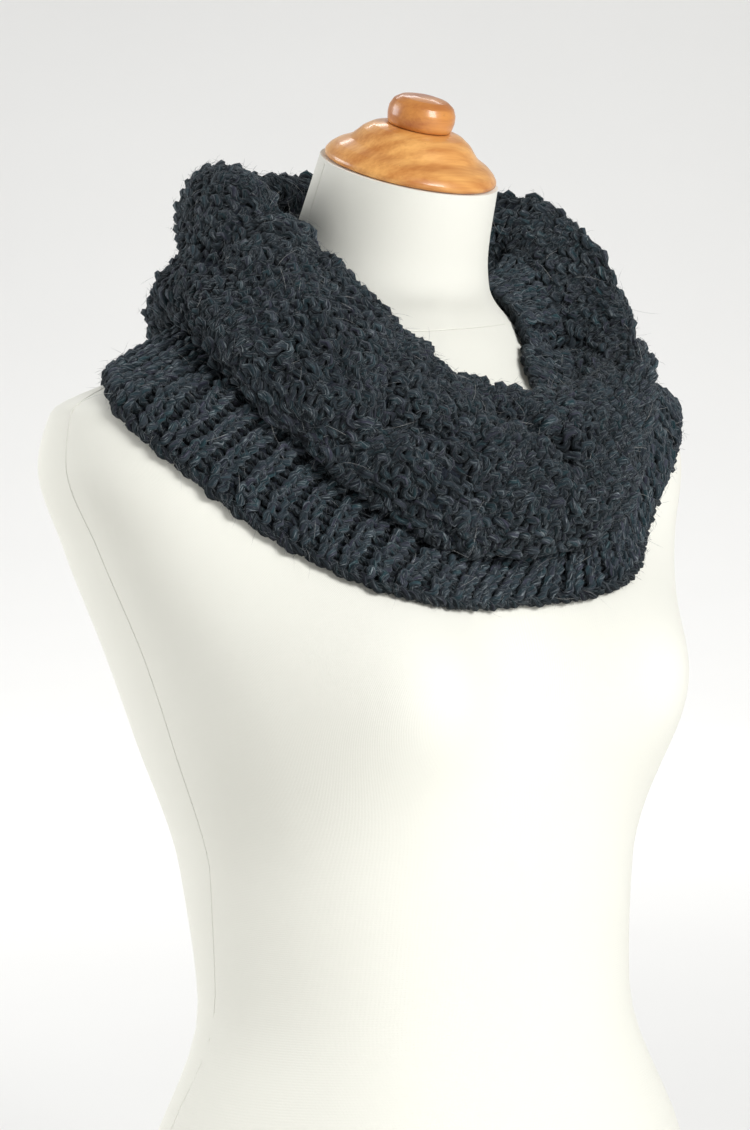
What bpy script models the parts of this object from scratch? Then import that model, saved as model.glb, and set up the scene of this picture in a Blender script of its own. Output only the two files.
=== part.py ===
"""Infinity scarf, knitted in the round, worn on a limbless dress form with a turned wooden neck cap.

The form faces -Y, its own right is -X, and it stands on its flat base at z = 0. Every table is in
millimetres and degrees, and MM turns a finished mesh into metres. An angle round the scarf is 0 at
the front, -90 at the form's right, 90 at its left and 180 at the back, about the neck's axis.
"""

import math

import bmesh
import bpy
import numpy as np
from mathutils import Vector
from mathutils.bvhtree import BVHTree

MM = 0.001
GAP = 0.3  # between two hard pieces that meet
SEAM_GAP = 0.8  # between two stretches of the knitting

# Dress form: one row a level, from the base to the top of the neck. front and back are the depths
# before and behind centre_y, and roundness is the section's superellipse power.
FORM_COLUMNS = ("level", "half_width", "front", "back", "roundness", "centre_y", "tilt")
FORM_ROWS = (
    (0, 186, 116, 128, 2.20, -11, 0),
    (70, 188, 118, 132, 2.20, -11, 0),
    (160, 167, 107, 112, 2.15, -10, 0),
    (250, 131, 99, 92, 2.10, -5, 0),  # waist
    (320, 134, 104, 103, 2.15, 1, 0),
    (395, 155, 106, 117, 2.30, 7, 0),
    (440, 169, 102, 120, 2.40, 12, 0),
    (500, 192, 91, 114, 2.50, 22, 0),
    (545, 208, 83, 102, 2.50, 28, 0),
    (572, 204, 73, 88, 2.40, 29, 0),
    (592, 168, 58, 76, 1.60, 30, 0),  # shoulder
    (612, 127, 53, 64, 1.40, 28, 3),
    (632, 80, 52, 58, 1.65, 24, 8),
    (650, 60, 53, 56, 1.95, 19, 15),
    (670, 54, 51, 54, 2.00, 13, 19),
    (705, 50.5, 48.5, 50.5, 2.00, 0, 19),  # neck top
)
BUST_X, BUST_LEVEL = 86, 432
BUST_REACH_X, BUST_REACH_Z, BUST_OUT = 60, 62, 42
BUST_FALLOFF = 1.1
FORM_RINGS, FORM_SIDES = 28, 48
BOX_CENTRE_Y = 11.8  # the form's middle, front to back, which is set over the origin

# Scarf: one row every 30 degrees round the neck's axis, from the back. Each pair is a ring of the
# tube: its distance from the axis, r, and its height, z. The hem and the crease lie on the form.
NECK_AXIS_Y = 24
FIRST_ANGLE, ANGLE_STEP = -180, 30
SCARF_COLUMNS = (
    "hem_z", "crease_z", "lip_r", "lip_z", "belly_r", "belly_z", "side_r", "side_z",
    "shoulder_r", "shoulder_z", "rim_r", "rim_z", "turn_r", "turn_z", "fall_r", "fall_z",
    "end_r", "end_z",
)
SCARF_ROWS = (
    (548, 604, 116, 601, 126, 620, 120, 650, 114, 688, 99, 706, 85, 696, 82, 656, 84, 628),
    (556, 606, 120, 605, 128, 624, 118, 650, 112, 688, 97, 706, 82, 696, 80, 656, 80, 631),
    (577, 608, 124, 611, 128, 629, 113, 654, 109, 688, 95, 704, 80, 694, 80, 660, 88, 638),
    (585, 613, 133, 618, 138, 638, 122, 660, 110, 684, 93, 699, 79, 688, 80, 667, 84, 650),
    (508, 569, 149, 569, 154, 586, 139, 612, 112, 641, 81, 657, 71, 647, 84, 630, 95, 616),
    (473, 511, 127, 510, 136, 532, 132, 562, 111, 594, 80, 614, 71, 602, 83, 580, 95, 557),
    (469, 499, 119, 499, 130, 521, 124, 548, 103, 573, 80, 586, 71, 577, 82, 558, 92, 537),
    (476, 509, 131, 508, 141, 529, 138, 552, 128, 573, 113, 584, 99, 576, 93, 566, 90, 556),
    (519, 562, 145, 562, 151, 582, 150, 596, 146, 606, 140, 611, 127, 607, 103, 597, 80, 600),
    (588, 602, 146, 611, 149, 632, 144, 651, 139, 670, 131, 684, 115, 674, 99, 654, 77, 639),
    (580, 606, 124, 607, 131, 625, 125, 653, 121, 684, 109, 700, 96, 690, 89, 656, 88, 636),
    (562, 605, 118, 602, 127, 620, 121, 650, 116, 686, 103, 704, 88, 693, 84, 655, 84, 629),
)
FOLD_COLUMNS = ("angle_a", "z_a", "angle_b", "z_b", "width", "depth")
FOLD_ROWS = (  # troughs in the roll, each along a line between two places on it
    (7, 575, 16, 562, 10, 5),  # down to the pocket
    (16, 563, 13, 545, 11, 8),  # the pocket
    (-38, 568, -13, 555, 11, 6),
    (-37, 592, -37, 568, 11, 3),
    (-17, 530, -15, 521, 11, 5),
    (-51, 565, -46, 556, 11, 5),
)
FOLD_ARC = 2.3  # millimetres a degree, where the folds are
WALL = 5.0  # one yarn and the yarn that crosses behind it
REST_GAP = 1.5  # the cloth's clearance from the form where it lies on it
BAND_LEVELS = (0, 0.25, 0.5, 0.75, 1)  # rings on the form, as shares of the way from hem to crease
TUCK_RISE = 9  # how far the band runs on, hidden, above the crease
TURN_RADIUS = 5.0  # of the turn at the tuck, from the band to the roll that lies over it
RIBS = 64
RIB_RISE, RIB_SINK = 1.2, 1.2
POINT_BLUR, NORMAL_BLUR = 4, 10  # degrees each way, where the cloth bridges the form's facets
PANEL_SIDES = RIBS

NECK_CAP_TILT = 19
CAP_PROFILE = (  # radius, height above the neck's top: a rim, an ogee, a bead and a cone
    (0, 24.4), (19.5, 24.4), (25.5, 22.6), (30.4, 19.2), (34, 15.0), (36, 12.8), (38.4, 11.4),
    (42.6, 9.2), (46.2, 6.2), (48.2, 3.4), (48.2, 1.2), (46.6, 0), (0, 0),
)
KNOB_PROFILE = (  # radius, height above the cap's top
    (0, 17.4), (7, 17.2), (13, 16), (16.8, 13.4), (18.6, 9.4), (18.8, 5.6), (18.2, 2), (17.5, 0),
    (0, 0),
)
CAP_SIDES, KNOB_SIDES = 40, 28

JERSEY = (0.76, 0.73, 0.64, 1)
YARN = (0.028, 0.034, 0.046, 1)
BEECH = (0.62, 0.31, 0.10, 1)


def clear_scene():
    for obj in list(bpy.data.objects):
        bpy.data.objects.remove(obj, do_unlink=True)


def material(name, colour, roughness):
    made = bpy.data.materials.new(name)
    made.use_nodes = True
    shader = made.node_tree.nodes["Principled BSDF"]
    shader.inputs["Base Color"].default_value = colour
    shader.inputs["Roughness"].default_value = roughness
    shader.inputs["Metallic"].default_value = 0
    return made


def add_object(name, mesh, parts, look):
    obj = bpy.data.objects.new(name, mesh)
    parts.objects.link(obj)
    obj.data.materials.append(look)
    return obj


def loft_mesh(name, rings, closed_along):
    """Quads between equal closed rings. closed_along joins the last ring to the first; if it is
    False, each end is closed with one flat face."""
    count, sides = len(rings), len(rings[0])
    shape = bmesh.new()
    verts = [[shape.verts.new(Vector(point) * MM) for point in ring] for ring in rings]
    spans = count if closed_along else count - 1
    for i in range(spans):
        low, high = verts[i], verts[(i + 1) % count]
        for k in range(sides):
            after = (k + 1) % sides
            shape.faces.new((low[k], low[after], high[after], high[k]))
    if not closed_along:
        shape.faces.new(verts[0])
        shape.faces.new(verts[-1])
    bmesh.ops.recalc_face_normals(shape, faces=shape.faces)
    mesh = bpy.data.meshes.new(name)
    shape.to_mesh(mesh)
    shape.free()
    mesh.shade_smooth()
    mesh.set_sharp_from_angle(angle=math.radians(50))
    return mesh


# Dress form


def monotone(xs, ys, x):
    """The smooth curve through the points (xs, ys) that never overshoots them, read at x."""
    gaps = np.diff(xs)
    slopes = np.diff(ys) / gaps
    ends = np.empty(len(xs))
    ends[0], ends[-1] = slopes[0], slopes[-1]
    for i in range(1, len(xs) - 1):
        before, after = slopes[i - 1], slopes[i]
        if before * after <= 0:
            ends[i] = 0
        else:
            a, b = 2 * gaps[i] + gaps[i - 1], gaps[i] + 2 * gaps[i - 1]
            ends[i] = (a + b) / (a / before + b / after)
    i = np.clip(np.searchsorted(xs, x, side="right") - 1, 0, len(gaps) - 1)
    t = (x - xs[i]) / gaps[i]
    return (
        ys[i] * (1 + 2 * t) * (1 - t) ** 2
        + ends[i] * gaps[i] * t * (1 - t) ** 2
        + ys[i + 1] * t**2 * (3 - 2 * t)
        + ends[i + 1] * gaps[i] * t**2 * (t - 1)
    )


def form_section(level):
    table = np.array(FORM_ROWS, float)
    return {
        name: monotone(table[:, 0], table[:, k], level) for k, name in enumerate(FORM_COLUMNS)
    }


def form_ring(level, sides):
    """One closed section of the form: a superellipse, leaned with the neck, with the bust on it."""
    part = form_section(level)
    turn = np.arange(sides) * (2 * math.pi / sides)
    power = 2 / part["roundness"]
    x = part["half_width"] * np.sign(np.cos(turn)) * np.abs(np.cos(turn)) ** power
    depth = np.where(np.sin(turn) < 0, part["front"], part["back"])
    y = depth * np.sign(np.sin(turn)) * np.abs(np.sin(turn)) ** power
    lean = math.radians(part["tilt"])
    ring = np.stack([x, part["centre_y"] + y * math.cos(lean), level + y * math.sin(lean)], 1)
    facing = np.clip(-2 * y / part["front"], 0, 1)
    for side in (-1, 1):
        across = (ring[:, 0] - side * BUST_X) / BUST_REACH_X
        up = (ring[:, 2] - BUST_LEVEL) / BUST_REACH_Z
        ring[:, 1] -= BUST_OUT * np.exp(-BUST_FALLOFF * (across**2 + up**2)) * facing
    return ring


def form_levels(rings):
    """Levels from base to neck top, closer together where the shoulders turn."""
    share = np.linspace(0, 1, rings)
    knots = np.array((0, 0.22, 0.60, 0.82, 1))
    heights = np.array((0, 320, 560, 632, 705), float)
    return monotone(knots, heights, share)


def form_rings():
    return [form_ring(level, FORM_SIDES) for level in form_levels(FORM_RINGS)]


def form_surface(rings):
    """The form's skin as something that a ray can be sent at."""
    points = [Vector(point) for ring in rings for point in ring]
    faces = []
    for i in range(len(rings) - 1):
        for k in range(FORM_SIDES):
            after = (k + 1) % FORM_SIDES
            low, high = i * FORM_SIDES, (i + 1) * FORM_SIDES
            faces.append((low + k, low + after, high + after, high + k))
    return BVHTree.FromPolygons(points, faces)


# Scarf


def read_round(column, angles):
    """A column of the scarf's table at any angles: a smooth closed curve through its rows."""
    place = (np.asarray(angles, float) - FIRST_ANGLE) / ANGLE_STEP
    row = np.floor(place).astype(int)
    t = place - row
    count = len(column)
    a, b, c, d = (column[(row + i) % count] for i in (-1, 0, 1, 2))
    return b + 0.5 * t * (c - a + t * (2 * a - 5 * b + 4 * c - d + t * (3 * (b - c) + d - a)))


def at_angle(radius, angles, height):
    angles = np.radians(angles)
    x, y = radius * np.sin(angles), NECK_AXIS_Y - radius * np.cos(angles)
    return np.stack([x, y, height], -1)


def smoothed(ring, reach):
    """A closed ring of values, each averaged with its neighbours up to reach places away."""
    weights = np.hanning(2 * reach + 3)[1:-1]
    weights /= weights.sum()
    wrapped = np.concatenate([ring[-reach:], ring, ring[:reach]])
    columns = [np.convolve(wrapped[:, k], weights, "valid") for k in range(ring.shape[1])]
    return np.stack(columns, 1)


def on_form(surface, angles, heights):
    """The wall's middle where it lies on the form at each angle and height, and the way out there."""
    reach = 400
    lift = REST_GAP + WALL / 2
    starts = at_angle(np.full(len(angles), reach), angles, heights)
    points, normals = [], []
    for start in starts:
        inward = Vector((-start[0], NECK_AXIS_Y - start[1], 0)).normalized()
        hit, normal, _, _ = surface.ray_cast(Vector(start), inward)
        if normal.dot(inward) > 0:
            normal = -normal
        points.append(hit + normal * lift)
        normals.append(normal)
    normals = smoothed(np.array(normals), NORMAL_BLUR)
    normals /= np.linalg.norm(normals, axis=1)[:, None]
    return smoothed(np.array(points), POINT_BLUR), normals


def clear_of(surface, points, least):
    """The points, each moved straight off the form's skin if it is nearer to it than least."""
    moved = []
    for point in points:
        place, normal, _, _ = surface.find_nearest(Vector(point))
        away = Vector(point) - place
        inside = away.dot(normal) < 0
        if inside or away.length < least:
            point = place + (-away if inside else away).normalized() * least
        moved.append(point)
    return np.array(moved)


def scarf_rings(surface, angles):
    """Every ring of the tube, from the hem over the rim to its inner end."""
    table = np.array(SCARF_ROWS, float)
    read = {name: read_round(table[:, k], angles) for k, name in enumerate(SCARF_COLUMNS)}
    hem, crease = read["hem_z"], read["crease_z"]
    rings = [on_form(surface, angles, hem + share * (crease - hem))[0] for share in BAND_LEVELS]
    tuck, out = on_form(surface, angles, crease + TUCK_RISE)
    up = tuck - rings[-1]
    up /= np.linalg.norm(up, axis=1)[:, None]
    for turn in np.radians((0, 45, 90, 135, 180)):
        rings.append(tuck + TURN_RADIUS * (np.sin(turn) * up + (1 - np.cos(turn)) * out))
    over_band = REST_GAP + 2 * WALL + RIB_RISE + GAP
    clearances = (over_band,) * 4 + (REST_GAP + WALL / 2,) * 4
    names = ("lip", "belly", "side", "shoulder", "rim", "turn", "fall", "end")
    for name, least in zip(names, clearances):
        ring = at_angle(read[name + "_r"], angles, read[name + "_z"])
        push = clear_of(surface, ring, least) - ring
        rings.append(ring + smoothed(push, NORMAL_BLUR))
    return rings


HEM, TUCK, LIP, RIM, FALL, END = 0, 5, 10, 14, 16, 17  # places in that list
RING_STEPS = (2,) * 4 + (1,) * 5 + (2,) * 8  # rows of the mesh from each of them to the next


def even_shares(ring, angles, shares):
    """The angles at which a closed ring has run the given shares of its length."""
    steps = np.linalg.norm(np.roll(ring, -1, axis=0) - ring, axis=1)
    run = np.concatenate([[0], np.cumsum(steps)])
    full = np.append(angles, angles[0] + 360)
    return np.interp(shares, run / run[-1], full)


class Tube:
    """The scarf's middle surface. Its wales cross every ring up to the rim at the same share of the
    ring's length, and run straight down inside it."""

    def __init__(self, surface):
        fine = np.arange(FIRST_ANGLE, FIRST_ANGLE + 360, 1.0)
        self.surface = surface
        self.rings = scarf_rings(surface, fine)
        self.angles = fine
        steps = [
            np.linalg.norm(b - a, axis=1).mean() for a, b in zip(self.rings, self.rings[1:])
        ]
        self.places = np.concatenate([[0], np.cumsum(steps)])

    def knots(self, columns):
        shares = np.arange(columns) / columns
        found = []
        for i, ring in enumerate(self.rings):
            if i <= RIM:
                at = even_shares(ring, self.angles, shares)
            closed = np.vstack([ring, ring[:1]])
            full = np.append(self.angles, self.angles[0] + 360)
            found.append(np.stack([np.interp(at, full, closed[:, k]) for k in range(3)], 1))
        return np.array(found)

    def read(self, knots, place):
        """Points of all wales at one place along them, in millimetres from the hem."""
        places = self.places
        i = int(np.clip(np.searchsorted(places, place, side="right") - 1, 0, len(places) - 2))
        gap = places[i + 1] - places[i]
        t = (place - places[i]) / gap
        a, b = knots[i], knots[i + 1]
        return (
            a * (1 + 2 * t) * (1 - t) ** 2
            + self.slope(knots, i) * gap * t * (1 - t) ** 2
            + b * t**2 * (3 - 2 * t)
            + self.slope(knots, i + 1) * gap * t**2 * (t - 1)
        )

    def slope(self, knots, i):
        last = len(knots) - 1
        if i == 0:
            return (knots[1] - knots[0]) / (self.places[1] - self.places[0])
        if i == last:
            return (knots[last] - knots[last - 1]) / (self.places[last] - self.places[last - 1])
        before, after = self.places[i] - self.places[i - 1], self.places[i + 1] - self.places[i]
        back, on = (knots[i] - knots[i - 1]) / before, (knots[i + 1] - knots[i]) / after
        return (back * after + on * before) / (before + after)

    def along(self, knots, place):
        """Unit directions of the wales."""
        step = 0.5
        run = self.read(knots, min(place + step, self.places[-1]))
        run = run - self.read(knots, max(place - step, 0))
        return run / np.linalg.norm(run, axis=1)[:, None]

    def outward(self, knots, place):
        """Unit normals, away from the tube's plain side."""
        here = self.read(knots, place)
        across = np.roll(here, -1, axis=0) - np.roll(here, 1, axis=0)
        normal = np.cross(across, self.along(knots, place))
        return normal / np.linalg.norm(normal, axis=1)[:, None]


def fold_depth(points):
    """How far the folds sink each point of the roll."""
    x, y = points[:, 0], NECK_AXIS_Y - points[:, 1]
    place = np.stack([np.degrees(np.arctan2(x, y)) * FOLD_ARC, points[:, 2]], 1)
    sunk = np.zeros(len(points))
    for angle_a, z_a, angle_b, z_b, width, depth in FOLD_ROWS:
        a, b = np.array((angle_a * FOLD_ARC, z_a)), np.array((angle_b * FOLD_ARC, z_b))
        share = np.clip((place - a) @ (b - a) / ((b - a) @ (b - a)), 0, 1)
        away = np.linalg.norm(place - a - share[:, None] * (b - a), axis=1)
        sunk = np.maximum(sunk, depth * np.exp(-((away / width) ** 2)))
    return sunk


def row_places(tube, first, last):
    """Places from one of the tube's rings to another, RING_STEPS of them to each ring."""
    places = [
        tube.places[i] + step / RING_STEPS[i] * (tube.places[i + 1] - tube.places[i])
        for i in range(first, last)
        for step in range(RING_STEPS[i])
    ]
    return places + [tube.places[last]]


def wall_rings(tube, first, last, raised, folded):
    """Closed strip of rings round one stretch of the wall: up its outer side, down its plain one.
    Half of the seam's gap is left at an end that another stretch meets."""
    knots = tube.knots(len(raised))
    outer, inner = [], []
    places = row_places(tube, first, last)
    for place in places:
        middle, normal = tube.read(knots, place), tube.outward(knots, place)
        starts = place == places[0] and first > HEM
        ends = place == places[-1] and last < END
        meets_panel = place in (tube.places[TUCK], tube.places[RIM])
        if meets_panel and len(raised) > PANEL_SIDES:  # keep to the outer panel's straight sides
            middle[1::2] = (middle[::2] + np.roll(middle[::2], -1, axis=0)) / 2
        middle = middle + tube.along(knots, place) * (SEAM_GAP / 2) * (int(starts) - int(ends))
        if folded and place >= tube.places[LIP]:
            middle = middle - normal * fold_depth(middle)[:, None]
        middle = clear_of(tube.surface, middle, REST_GAP + WALL / 2)
        outer.append(middle + normal * (WALL / 2 + raised)[:, None])
        inner.append(middle - normal * (WALL / 2))
    return outer + inner[::-1]


def ribbed():
    """How far each column of a band stands out: a groove and a crest for each rib."""
    return np.array([-RIB_SINK, RIB_RISE] * RIBS)


def build_scarf(surface, parts, look):
    tube = Tube(surface)
    stretches = (
        ("scarf_lower_band", HEM, TUCK, ribbed()),
        ("scarf_panel_outer", TUCK, RIM, np.zeros(PANEL_SIDES)),
        ("scarf_panel_inner", RIM, FALL, np.zeros(2 * PANEL_SIDES)),
        ("scarf_upper_band", FALL, END, ribbed()),
    )
    for name, first, last, raised in stretches:
        folded = name == "scarf_panel_outer"
        rings = wall_rings(tube, first, last, raised, folded)
        add_object(name, loft_mesh(name, placed(rings), True), parts, look)


def placed(rings):
    """The rings with the whole model's middle over the origin."""
    return [ring - np.array((0, BOX_CENTRE_Y, 0)) for ring in rings]


# Neck cap


def turned(name, profile, sides, parts, look):
    """A profile turned about Z. It runs down its outer side, from the top of the axis."""
    shape = bmesh.new()
    verts = [shape.verts.new((radius * MM, 0, height * MM)) for radius, height in profile]
    for first, second in zip(verts, verts[1:]):
        shape.edges.new((first, second))
    mesh = bpy.data.meshes.new(name)
    shape.to_mesh(mesh)
    shape.free()
    obj = add_object(name, mesh, parts, look)
    screw = obj.modifiers.new("turn", "SCREW")
    screw.steps = screw.render_steps = sides
    screw.use_merge_vertices = True
    screw.merge_threshold = 0.00001
    screw.use_smooth_shade = True
    return obj


def build_cap(parts, look):
    """The cap and its knob, square to the leaning neck."""
    lean = math.radians(NECK_CAP_TILT)
    axis = Vector((0, -math.sin(lean), math.cos(lean)))
    top = dict(zip(FORM_COLUMNS, FORM_ROWS[-1]))
    seat = Vector((0, top["centre_y"] - BOX_CENTRE_Y, top["level"]))
    cap = turned("form_neck_cap", CAP_PROFILE, CAP_SIDES, parts, look)
    knob = turned("form_cap_knob", KNOB_PROFILE, KNOB_SIDES, parts, look)
    cap_top = CAP_PROFILE[0][1]
    cap.location = (seat + axis * GAP) * MM
    knob.location = (seat + axis * (2 * GAP + cap_top)) * MM
    for obj in (cap, knob):
        obj.rotation_euler = (lean, 0, 0)


def main():
    clear_scene()
    parts = bpy.data.collections.new("infinity_scarf_on_dress_form")
    bpy.context.scene.collection.children.link(parts)
    rings = form_rings()
    jersey = material("ivory_jersey", JERSEY, 0.9)
    yarn = material("slate_yarn", YARN, 0.95)
    beech = material("varnished_beech", BEECH, 0.3)
    add_object("form_body", loft_mesh("form_body", placed(rings), False), parts, jersey)
    build_scarf(form_surface(rings), parts, yarn)
    build_cap(parts, beech)


main()
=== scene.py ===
"""Looks of a knitted infinity scarf on a limbless dress form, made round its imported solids.

Tables are in millimetres and degrees, and MM turns a finished mesh into metres. The form faces -Y
and its own right is -X. An angle round the scarf is 0 at the front, -90 at the form's right, 90 at
its left and 180 at the back, about the neck's axis.
"""

import math

import bmesh
import bpy
import numpy as np
from mathutils import Matrix, Vector
from mathutils.bvhtree import BVHTree


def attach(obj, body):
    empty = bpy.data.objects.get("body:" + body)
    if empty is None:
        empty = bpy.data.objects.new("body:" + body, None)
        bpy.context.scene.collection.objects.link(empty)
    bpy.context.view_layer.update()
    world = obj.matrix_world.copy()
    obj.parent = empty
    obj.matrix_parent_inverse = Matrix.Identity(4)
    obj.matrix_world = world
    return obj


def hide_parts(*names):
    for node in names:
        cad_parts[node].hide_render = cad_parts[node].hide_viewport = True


MM = 0.001
BODY = "root"

# Dress form: one row a level, from the base to the top of the neck. front and back are the depths
# before and behind centre_y, and roundness is the section's superellipse power.
FORM_COLUMNS = ("level", "half_width", "front", "back", "roundness", "centre_y", "tilt")
FORM_ROWS = (
    (0, 186, 116, 128, 2.20, -11, 0),
    (70, 188, 118, 132, 2.20, -11, 0),
    (160, 167, 107, 112, 2.15, -10, 0),
    (250, 131, 99, 92, 2.10, -5, 0),  # waist
    (320, 134, 104, 103, 2.15, 1, 0),
    (395, 155, 106, 117, 2.30, 7, 0),
    (440, 169, 102, 120, 2.40, 12, 0),
    (500, 192, 91, 114, 2.50, 22, 0),
    (545, 208, 83, 102, 2.50, 28, 0),
    (572, 204, 73, 88, 2.40, 29, 0),
    (592, 168, 58, 76, 1.60, 30, 0),  # shoulder
    (612, 127, 53, 64, 1.40, 28, 3),
    (632, 80, 52, 58, 1.65, 24, 8),
    (650, 60, 53, 56, 1.95, 19, 15),
    (670, 54, 51, 54, 2.00, 13, 19),
    (705, 50.5, 48.5, 50.5, 2.00, 0, 19),  # neck top
)
BUST_X, BUST_LEVEL = 86, 432
BUST_REACH_X, BUST_REACH_Z, BUST_OUT = 60, 62, 42
BUST_FALLOFF = 1.1
FORM_RINGS, FORM_SIDES = 100, 128
RING_SHARES = (0, 0.22, 0.60, 0.82, 1)  # of the rings, from the base up to each of these levels
RING_LEVELS = (0, 320, 560, 632, 705)
COVER_ROUND, COVER_TALL = 0.95, 0.75  # metres of jersey, round the form and up it
BOX_CENTRE_Y = 11.8  # the form's middle, front to back, which is set over the origin

# Scarf: one row every 30 degrees round the neck's axis, from the back. Each pair is a ring of the
# tube: its distance from the axis, r, and its height, z. The hem and the crease lie on the form.
NECK_AXIS_Y = 24
FIRST_ANGLE, ANGLE_STEP = -180, 30
SCARF_COLUMNS = (
    "hem_z", "crease_z", "lip_r", "lip_z", "belly_r", "belly_z", "side_r", "side_z",
    "shoulder_r", "shoulder_z", "rim_r", "rim_z", "turn_r", "turn_z", "fall_r", "fall_z",
    "end_r", "end_z",
)
SCARF_ROWS = (
    (548, 604, 116, 601, 126, 620, 120, 650, 114, 688, 99, 706, 85, 696, 82, 656, 84, 628),
    (556, 606, 120, 605, 128, 624, 118, 650, 112, 688, 97, 706, 82, 696, 80, 656, 80, 631),
    (577, 608, 124, 611, 128, 629, 113, 654, 109, 688, 95, 704, 80, 694, 80, 660, 88, 638),
    (585, 613, 133, 618, 138, 638, 122, 660, 110, 684, 93, 699, 79, 688, 80, 667, 84, 650),
    (508, 569, 149, 569, 154, 586, 139, 612, 112, 641, 81, 657, 71, 647, 84, 630, 95, 616),
    (473, 511, 127, 510, 136, 532, 132, 562, 111, 594, 80, 614, 71, 602, 83, 580, 95, 557),
    (469, 499, 119, 499, 130, 521, 124, 548, 103, 573, 80, 586, 71, 577, 82, 558, 92, 537),
    (476, 509, 131, 508, 141, 529, 138, 552, 128, 573, 113, 584, 99, 576, 93, 566, 90, 556),
    (519, 562, 145, 562, 151, 582, 150, 596, 146, 606, 140, 611, 127, 607, 103, 597, 80, 600),
    (588, 602, 146, 611, 149, 632, 144, 651, 139, 670, 131, 684, 115, 674, 99, 654, 77, 639),
    (580, 606, 124, 607, 131, 625, 125, 653, 121, 684, 109, 700, 96, 690, 89, 656, 88, 636),
    (562, 605, 118, 602, 127, 620, 121, 650, 116, 686, 103, 704, 88, 693, 84, 655, 84, 629),
)
# Troughs in the roll, each along a line between two places on it: one end's angle and height, the
# other end's angle and height, then the trough's width and depth.
FOLD_ROWS = (
    (-6, 582, -1, 573, 4, 5),  # down to the pocket
    (-1, 573, 8, 566, 5, 10),
    (8, 566, 12, 559, 5, 13),  # the pocket
    (12, 559, 13, 549, 6, 14),
    (-38, 568, -13, 555, 7, 10),
    (-37, 592, -37, 568, 9, 6),
    (-17, 530, -15, 521, 10, 8),
    (-51, 565, -46, 556, 10, 8),
    (-79, 716, -79, 690, 14, 16),  # the notch in the rim, and the furrow below it
    (-79, 690, -82, 664, 9, 6),
    (-67, 667, -52, 637, 5, 4),  # under the rolled edge of the rim
    (-46, 544, -31, 512, 6, 6),  # above the crease at the form's right
    (-31, 512, -16, 507, 6, 4),
    (38, 548, 52, 560, 7, 10),  # round the form's left and back
    (66, 610, 84, 596, 8, 11),
    (98, 662, 117, 640, 8, 12),
    (124, 626, 144, 647, 7, 11),
    (150, 670, 171, 654, 8, 13),
    (-172, 686, -157, 666, 7, 10),
    (-150, 630, -127, 652, 8, 13),
    (-112, 674, -98, 653, 7, 11),
)
FOLD_ARC = 2.3  # millimetres a degree, where the folds are
WALL = 5.0
REST_GAP = 1.5  # the cloth's clearance from the form where it lies on it
BAND_LEVELS = (0, 0.25, 0.5, 0.75, 1)  # rings on the form, as shares of the way from hem to crease
TUCK_RISE = 9  # how far the band runs on, hidden, above the crease
TURN_RADIUS = 5.0  # of the turn at the tuck, from the band to the roll that lies over it
TURN_STEPS = (0, 45, 90, 135, 180)  # degrees
OVER_BAND = 13.0  # the roll's clearance from the form, where the band lies under it
POINT_BLUR, NORMAL_BLUR = 4, 10  # degrees each way, where the cloth bridges the form's facets
WELL_OUTSIDE = 400  # from the neck's axis, past all of the form
HEM, TUCK, TURNED, LIP, RIM, FALL, END = 0, 5, 9, 10, 14, 16, 17  # rings of the tube

# Knitting
WALES, ALONG_STEP = 448, 1.0  # columns of the smooth cloth, and millimetres between its rows
LAST_READ = 1.001  # rows short of a stretch's end where reading it stops, to have a row above
BAND_STITCHES, PANEL_STITCHES = 128, 112  # all round
BAND_ROUND, TUBE_ROUND = 850.0, 820.0  # millimetres round the lower band, and the tube on average
ROW_HEIGHT = 5.4
INNER_ROWS, FALL_ROWS = 12, 7  # rounds inside the rim, and how many of them are the panel's
UPPER_ROWS = 10  # rounds of the panel from its rim down that are one mesh
HEM_EDGE, HEM_ROUND = 0.6, 4.6  # heights of the cast on edge and of the first round on it
INNER_EDGE = 0.4  # the other edge's height short of the tube's end
UNDER_LIP = 7.0  # how far the panel is still knitted past the lip, out of sight
BAND_MARGIN, PANEL_MARGIN, INSIDE_MARGIN = (6, 10), (10, 12), (8, 6)  # cloth past a stretch's two ends

# A stitch, one loop of yarn
POINTS_A_STITCH, YARN_SIDES = 10, 5
YARN_RADIUS = 2.15
LOOP_HEIGHT = 3.6  # half of a loop, from its foot to its head
LOOP_LEAN = 0.17  # of a stitch's width, which slants its legs
LOOP_DEPTH = 1.35
KNIT_SHARE = 0.78  # of a rib's width, which its knitted stitch takes
RIB_RELIEF, PANEL_RELIEF = 3.0, -1.3  # on the panel it is the purled stitches that stand out
PURL_SLIM = 0.35  # how much thinner a rib's purled stitch looks, squeezed behind its neighbours
FACE_SHARPNESS = 1.8  # how fast a loop turns over between a knitted stitch and a purled one

# How unevenly each stitch sits: sideways in stitches, up as a share, out in millimetres, and its lean
# and the yarn's thickness as shares
SLIP_SIDE, SLIP_UP, SLIP_OUT = 0.15, 0.09, 0.55
SLIP_LEAN, SLIP_THICK = 0.35, 0.07
SWELL, SWELL_RATE = 0.05, 5.3  # the yarn's thick and thin: a share of it, and radians a stitch

# The slow wander of tension: sideways in stitches, then along and out in millimetres, with the
# longest and shortest wave of each in millimetres and its seed
DRIFT_REACH = (0.35, 1.5, 0.7)
DRIFT_WAVES = ((90, 35, 21), (110, 40, 22), (45, 18, 23))
RIB_LEANS = (  # share round the band, and how far its ribs lean sideways for each step up
    (0.00, -0.15), (0.10, -0.35), (0.20, -0.60), (0.25, -0.45), (0.30, -0.20), (0.35, -0.07),
    (0.40, 0.00), (0.43, 0.17), (0.45, 0.36), (0.47, 0.50), (0.49, 0.57), (0.51, 0.57),
    (0.55, 0.40), (0.60, 0.22), (0.70, 0.10), (0.85, 0.05), (1.00, -0.15),
)
UPRIGHT = ((0.0, 0.0), (1.0, 0.0))

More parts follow.
